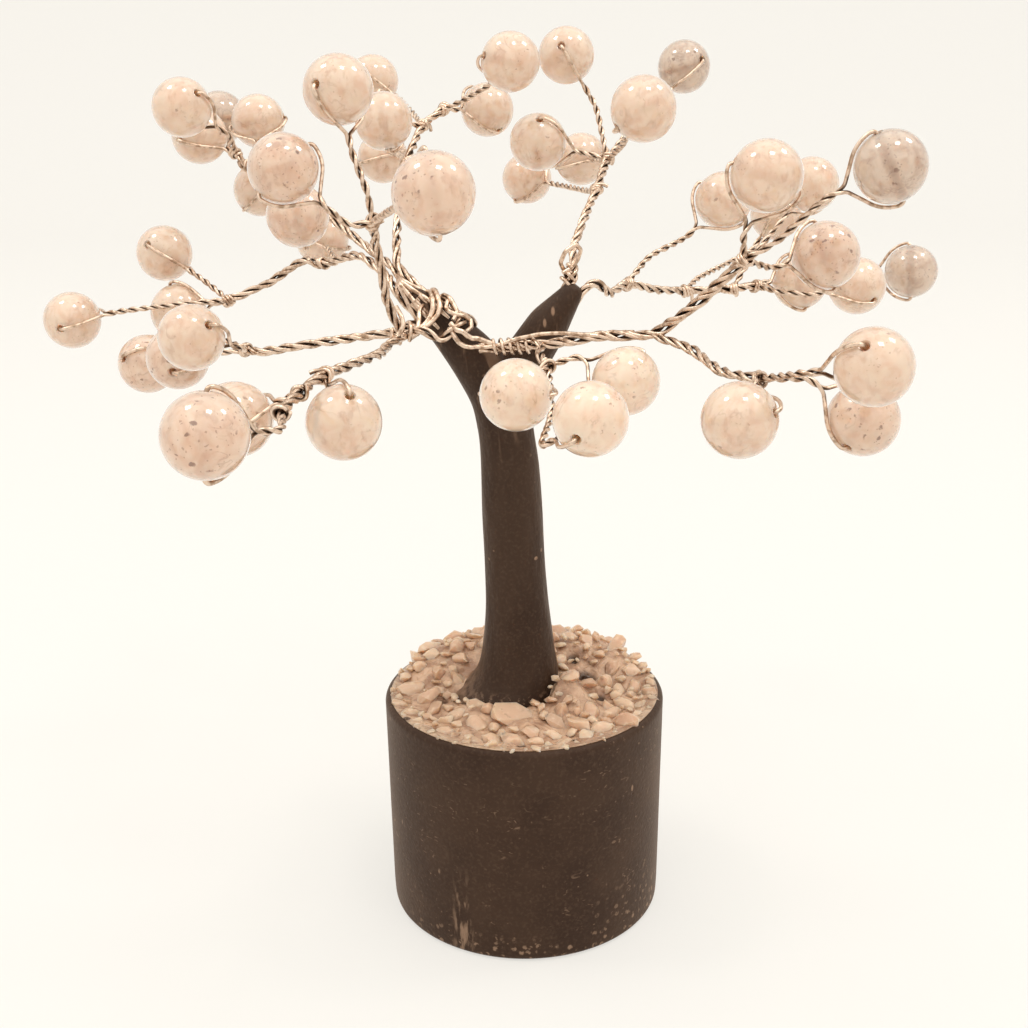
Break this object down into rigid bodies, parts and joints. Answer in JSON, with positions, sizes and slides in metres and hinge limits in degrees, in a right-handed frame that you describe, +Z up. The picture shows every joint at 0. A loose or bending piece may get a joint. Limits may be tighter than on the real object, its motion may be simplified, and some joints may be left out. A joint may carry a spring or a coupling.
{
  "type": "gemstone tree ornament",
  "caption": "Ornamental tree with drilled round stone beads on twisted wire branches, a coated forked trunk and a round base filled with stone chips.",
  "frame": {"origin": "middle of the base's flat underside", "axes": "+Z up, +X to the right and +Y to the back, seen from the front"},
  "size_m": [0.1314, 0.12, 0.1171],
  "materials": {
    "base_paint": "dark brown painted wood, satin, a little scuffed",
    "glue": "set clear glue",
    "quartz_chip": "pale translucent broken quartz",
    "trunk_paint": "dark brown painted modelling compound, satin",
    "wire": "bright twisted craft wire",
    "quartz_bead": "polished translucent pale quartz"
  },
  "bodies": {
    "tree": {"base_block": "base_paint", "branch_back_high_left": "wire", "branch_back_high_right": "wire", "branch_back_left_high": "wire", "branch_back_left_low": "wire", "branch_back_right": "wire", "branch_front_high": "wire", "branch_front_left": "wire", "branch_front_middle": "wire", "branch_front_right": "wire", "branch_left": "wire", "glue_bed": "glue", "quartz_chips": "quartz_chip", "trunk_coat": "trunk_paint", "trunk_wire_bundle": "wire"},
    "bead_front_left_1": {"bead_front_left_1": "quartz_bead"},
    "bead_front_left_2": {"bead_front_left_2": "quartz_bead"},
    "bead_front_left_3": {"bead_front_left_3": "quartz_bead"},
    "bead_left_1": {"bead_left_1": "quartz_bead"},
    "bead_left_2": {"bead_left_2": "quartz_bead"},
    "bead_left_3": {"bead_left_3": "quartz_bead"},
    "bead_back_left_low_1": {"bead_back_left_low_1": "quartz_bead"},
    "bead_back_left_low_2": {"bead_back_left_low_2": "quartz_bead"},
    "bead_back_left_low_3": {"bead_back_left_low_3": "quartz_bead"},
    "bead_back_left_low_4": {"bead_back_left_low_4": "quartz_bead"},
    "bead_back_left_high_1": {"bead_back_left_high_1": "quartz_bead"},
    "bead_back_left_high_2": {"bead_back_left_high_2": "quartz_bead"},
    "bead_back_left_high_3": {"bead_back_left_high_3": "quartz_bead"},
    "bead_back_left_high_4": {"bead_back_left_high_4": "quartz_bead"},
    "bead_back_left_high_5": {"bead_back_left_high_5": "quartz_bead"},
    "bead_back_left_high_6": {"bead_back_left_high_6": "quartz_bead"},
    "bead_front_high_1": {"bead_front_high_1": "quartz_bead"},
    "bead_front_high_2": {"bead_front_high_2": "quartz_bead"},
    "bead_front_high_3": {"bead_front_high_3": "quartz_bead"},
    "bead_back_high_left_1": {"bead_back_high_left_1": "quartz_bead"},
    "bead_back_high_left_2": {"bead_back_high_left_2": "quartz_bead"},
    "bead_back_high_left_3": {"bead_back_high_left_3": "quartz_bead"},
    "bead_back_high_left_4": {"bead_back_high_left_4": "quartz_bead"},
    "bead_back_high_left_5": {"bead_back_high_left_5": "quartz_bead"},
    "bead_back_high_right_1": {"bead_back_high_right_1": "quartz_bead"},
    "bead_back_high_right_2": {"bead_back_high_right_2": "quartz_bead"},
    "bead_back_high_right_3": {"bead_back_high_right_3": "quartz_bead"},
    "bead_back_high_right_4": {"bead_back_high_right_4": "quartz_bead"},
    "bead_back_high_right_5": {"bead_back_high_right_5": "quartz_bead"},
    "bead_back_high_right_6": {"bead_back_high_right_6": "quartz_bead"},
    "bead_back_right_1": {"bead_back_right_1": "quartz_bead"},
    "bead_back_right_2": {"bead_back_right_2": "quartz_bead"},
    "bead_back_right_3": {"bead_back_right_3": "quartz_bead"},
    "bead_back_right_4": {"bead_back_right_4": "quartz_bead"},
    "bead_back_right_5": {"bead_back_right_5": "quartz_bead"},
    "bead_back_right_6": {"bead_back_right_6": "quartz_bead"},
    "bead_front_right_1": {"bead_front_right_1": "quartz_bead"},
    "bead_front_right_2": {"bead_front_right_2": "quartz_bead"},
    "bead_front_right_3": {"bead_front_right_3": "quartz_bead"},
    "bead_front_right_low_1": {"bead_front_right_low_1": "quartz_bead"},
    "bead_front_right_low_2": {"bead_front_right_low_2": "quartz_bead"},
    "bead_front_right_low_3": {"bead_front_right_low_3": "quartz_bead"},
    "bead_front_middle_1": {"bead_front_middle_1": "quartz_bead"},
    "bead_front_middle_2": {"bead_front_middle_2": "quartz_bead"},
    "bead_front_middle_3": {"bead_front_middle_3": "quartz_bead"}
  },
  "joints": [
    {"name": "bead_front_left_1_turn", "type": "hinge", "parent": "tree", "child": "bead_front_left_1", "pos_m": [-0.01864, -0.03456, 0.07756], "axis": [0.2465, -0.4788, 0.8426], "continuous": true},
    {"name": "bead_front_left_2_turn", "type": "hinge", "parent": "tree", "child": "bead_front_left_2", "pos_m": [-0.03016, -0.03296, 0.07756], "axis": [0.2342, 0.9329, 0.2736], "continuous": true},
    {"name": "bead_front_left_3_turn", "type": "hinge", "parent": "tree", "child": "bead_front_left_3", "pos_m": [-0.02824, -0.056, 0.08204], "axis": [-0.0733, -0.1317, -0.9886], "continuous": true},
    {"name": "bead_left_1_turn", "type": "hinge", "parent": "tree", "child": "bead_left_1", "pos_m": [-0.03944, -0.0096, 0.08172], "axis": [0.6875, -0.5469, 0.4777], "continuous": true},
    {"name": "bead_left_2_turn", "type": "hinge", "parent": "tree", "child": "bead_left_2", "pos_m": [-0.0436, 0, 0.07724], "axis": [0.0282, -0.9669, -0.2535], "continuous": true},
    {"name": "bead_left_3_turn", "type": "hinge", "parent": "tree", "child": "bead_left_3", "pos_m": [-0.05096, 0.01312, 0.07372], "axis": [-0.6508, -0.6856, 0.3263], "continuous": true},
    {"name": "bead_back_left_low_1_turn", "type": "hinge", "parent": "tree", "child": "bead_back_left_low_1", "pos_m": [-0.02984, 0.04, 0.08684], "axis": [-0.9155, -0.2823, 0.2868], "continuous": true},
    {"name": "bead_back_left_low_2_turn", "type": "hinge", "parent": "tree", "child": "bead_back_left_low_2", "pos_m": [-0.04872, 0.024, 0.07884], "axis": [-0.2584, 0.0272, 0.9657], "continuous": true},
    {"name": "bead_back_left_low_3_turn", "type": "hinge", "parent": "tree", "child": "bead_back_left_low_3", "pos_m": [-0.05128, 0.02912, 0.08652], "axis": [-0.3992, -0.8138, 0.4223], "continuous": true},
    {"name": "bead_back_left_low_4_turn", "type": "hinge", "parent": "tree", "child": "bead_back_left_low_4", "pos_m": [-0.06344, 0.02208, 0.0782], "axis": [-0.1626, -0.9778, -0.1322], "continuous": true},
    {"name": "bead_back_left_high_1_turn", "type": "hinge", "parent": "tree", "child": "bead_back_left_high_1", "pos_m": [-0.02824, 0.00576, 0.0942], "axis": [-0.1674, 0.0922, 0.9816], "continuous": true},
    {"name": "bead_back_left_high_2_turn", "type": "hinge", "parent": "tree", "child": "bead_back_left_high_2", "pos_m": [-0.03912, 0.04192, 0.0942], "axis": [0.5794, 0.4389, 0.6868], "continuous": true},
    {"name": "bead_back_left_high_3_turn", "type": "hinge", "parent": "tree", "child": "bead_back_left_high_3", "pos_m": [-0.03912, 0.04416, 0.10412], "axis": [0.9896, 0.0123, 0.1434], "continuous": true},
    {"name": "bead_back_left_high_4_turn", "type": "hinge", "parent": "tree", "child": "bead_back_left_high_4", "pos_m": [-0.04616, 0.03488, 0.10252], "axis": [-0.567, -0.8223, -0.0483], "continuous": true},
    {"name": "bead_back_left_high_5_turn", "type": "hinge", "parent": "tree", "child": "bead_back_left_high_5", "pos_m": [-0.04552, 0.02208, 0.107], "axis": [-0.7061, 0.525, -0.4753], "continuous": true},
    {"name": "bead_back_left_high_6_turn", "type": "hinge", "parent": "tree", "child": "bead_back_left_high_6", "pos_m": [-0.04616, 0.05088, 0.10444], "axis": [0.9193, 0.3638, -0.1504], "continuous": true},
    {"name": "bead_front_high_1_turn", "type": "hinge", "parent": "tree", "child": "bead_front_high_1", "pos_m": [-0.02056, -0.0096, 0.10988], "axis": [-0.544, -0.8207, 0.1748], "continuous": true},
    {"name": "bead_front_high_2_turn", "type": "hinge", "parent": "tree", "child": "bead_front_high_2", "pos_m": [-0.02664, -0.01376, 0.10156], "axis": [-0.6763, -0.3511, -0.6475], "continuous": true},
    {"name": "bead_front_high_3_turn", "type": "hinge", "parent": "tree", "child": "bead_front_high_3", "pos_m": [-0.0084, -0.04064, 0.10124], "axis": [0.1476, -0.1484, -0.9778], "continuous": true},
    {"name": "bead_back_high_left_1_turn", "type": "hinge", "parent": "tree", "child": "bead_back_high_left_1", "pos_m": [-0.0212, 0.05184, 0.09804], "axis": [0.9133, 0.353, 0.2031], "continuous": true},
    {"name": "bead_back_high_left_2_turn", "type": "hinge", "parent": "tree", "child": "bead_back_high_left_2", "pos_m": [-0.01864, 0.02592, 0.10476], "axis": [-0.1803, 0.2525, 0.9506], "continuous": true},
    {"name": "bead_back_high_left_3_turn", "type": "hinge", "parent": "tree", "child": "bead_back_high_left_3", "pos_m": [-0.02248, 0.05376, 0.10956], "axis": [0.5023, 0.6706, -0.5459], "continuous": true},
    {"name": "bead_back_high_left_4_turn", "type": "hinge", "parent": "tree", "child": "bead_back_high_left_4", "pos_m": [-0.00456, 0.0448, 0.1054], "axis": [0.4486, -0.4636, -0.7641], "continuous": true},
    {"name": "bead_back_high_left_5_turn", "type": "hinge", "parent": "tree", "child": "bead_back_high_left_5", "pos_m": [-0.00104, 0.02304, 0.11244], "axis": [-0.8937, -0.4012, 0.2008], "continuous": true},
    {"name": "bead_back_high_right_1_turn", "type": "hinge", "parent": "tree", "child": "bead_back_high_right_1", "pos_m": [0.00148, 0.056, 0.09426], "axis": [0.5035, 0.2708, 0.8205], "continuous": true},
    {"name": "bead_back_high_right_2_turn", "type": "hinge", "parent": "tree", "child": "bead_back_high_right_2", "pos_m": [0.00692, 0.03392, 0.11314], "axis": [-0.2177, -0.9183, 0.3305], "continuous": true},
    {"name": "bead_back_high_right_3_turn", "type": "hinge", "parent": "tree", "child": "bead_back_high_right_3", "pos_m": [0.00276, 0.02816, 0.10162], "axis": [0.0517, -0.5866, 0.8082], "continuous": true},
    {"name": "bead_back_high_right_4_turn", "type": "hinge", "parent": "tree", "child": "bead_back_high_right_4", "pos_m": [0.0098, 0.048, 0.09778], "axis": [0.9254, 0.24, 0.2934], "continuous": true},
    {"name": "bead_back_high_right_5_turn", "type": "hinge", "parent": "tree", "child": "bead_back_high_right_5", "pos_m": [0.01492, 0, 0.10706], "axis": [0.8114, 0.2202, 0.5415], "continuous": true},
    {"name": "bead_back_high_right_6_turn", "type": "hinge", "parent": "tree", "child": "bead_back_high_right_6", "pos_m": [0.02548, 0.04928, 0.11122], "axis": [0.6107, -0.7481, 0.2595], "continuous": true},
    {"name": "bead_back_right_1_turn", "type": "hinge", "parent": "tree", "child": "bead_back_right_1", "pos_m": [0.02868, 0.02528, 0.09362], "axis": [0.7171, -0.3514, -0.6019], "continuous": true},
    {"name": "bead_back_right_2_turn", "type": "hinge", "parent": "tree", "child": "bead_back_right_2", "pos_m": [0.0402, 0.04704, 0.08914], "axis": [-0.0534, 0.7514, -0.6577], "continuous": true},
    {"name": "bead_back_right_3_turn", "type": "hinge", "parent": "tree", "child": "bead_back_right_3", "pos_m": [0.04276, 0.03392, 0.0949], "axis": [0.6114, 0.383, -0.6924], "continuous": true},
    {"name": "bead_back_right_4_turn", "type": "hinge", "parent": "tree", "child": "bead_back_right_4", "pos_m": [0.06004, 0.04, 0.08114], "axis": [-0.0277, 0.2459, 0.9689], "continuous": true},
    {"name": "bead_back_right_5_turn", "type": "hinge", "parent": "tree", "child": "bead_back_right_5", "pos_m": [0.04084, 0.02912, 0.08146], "axis": [-0.199, 0.398, 0.8955], "continuous": true},
    {"name": "bead_back_right_6_turn", "type": "hinge", "parent": "tree", "child": "bead_back_right_6", "pos_m": [0.04724, 0.02112, 0.0821], "axis": [-0.437, 0.7988, 0.4134], "continuous": true},
    {"name": "bead_front_right_1_turn", "type": "hinge", "parent": "tree", "child": "bead_front_right_1", "pos_m": [0.02672, -0.01888, 0.10068], "axis": [0.9312, -0.042, -0.362], "continuous": true},
    {"name": "bead_front_right_2_turn", "type": "hinge", "parent": "tree", "child": "bead_front_right_2", "pos_m": [0.03984, -0.02016, 0.10164], "axis": [-0.4484, -0.0458, 0.8927], "continuous": true},
    {"name": "bead_front_right_3_turn", "type": "hinge", "parent": "tree", "child": "bead_front_right_3", "pos_m": [0.03568, -0.00992, 0.09076], "axis": [-0.2731, 0.2967, 0.9151], "continuous": true},
    {"name": "bead_front_right_low_1_turn", "type": "hinge", "parent": "tree", "child": "bead_front_right_low_1", "pos_m": [0.02192, -0.0368, 0.07796], "axis": [0.8267, -0.468, 0.3122], "continuous": true},
    {"name": "bead_front_right_low_2_turn", "type": "hinge", "parent": "tree", "child": "bead_front_right_low_2", "pos_m": [0.0344, -0.04, 0.08404], "axis": [-0.4365, -0.6076, 0.6635], "continuous": true},
    {"name": "bead_front_right_low_3_turn", "type": "hinge", "parent": "tree", "child": "bead_front_right_low_3", "pos_m": [0.03664, -0.02848, 0.07572], "axis": [0.5343, 0.5435, 0.6474], "continuous": true},
    {"name": "bead_front_middle_1_turn", "type": "hinge", "parent": "tree", "child": "bead_front_middle_1", "pos_m": [-0.0008, -0.02624, 0.07828], "axis": [0.9582, -0.2817, 0.0502], "continuous": true},
    {"name": "bead_front_middle_2_turn", "type": "hinge", "parent": "tree", "child": "bead_front_middle_2", "pos_m": [0.00688, -0.03456, 0.07764], "axis": [-0.4269, -0.8457, -0.3203], "continuous": true},
    {"name": "bead_front_middle_3_turn", "type": "hinge", "parent": "tree", "child": "bead_front_middle_3", "pos_m": [0.012, -0.016, 0.07732], "axis": [0.5722, 0.4464, 0.688], "continuous": true}
  ]
}
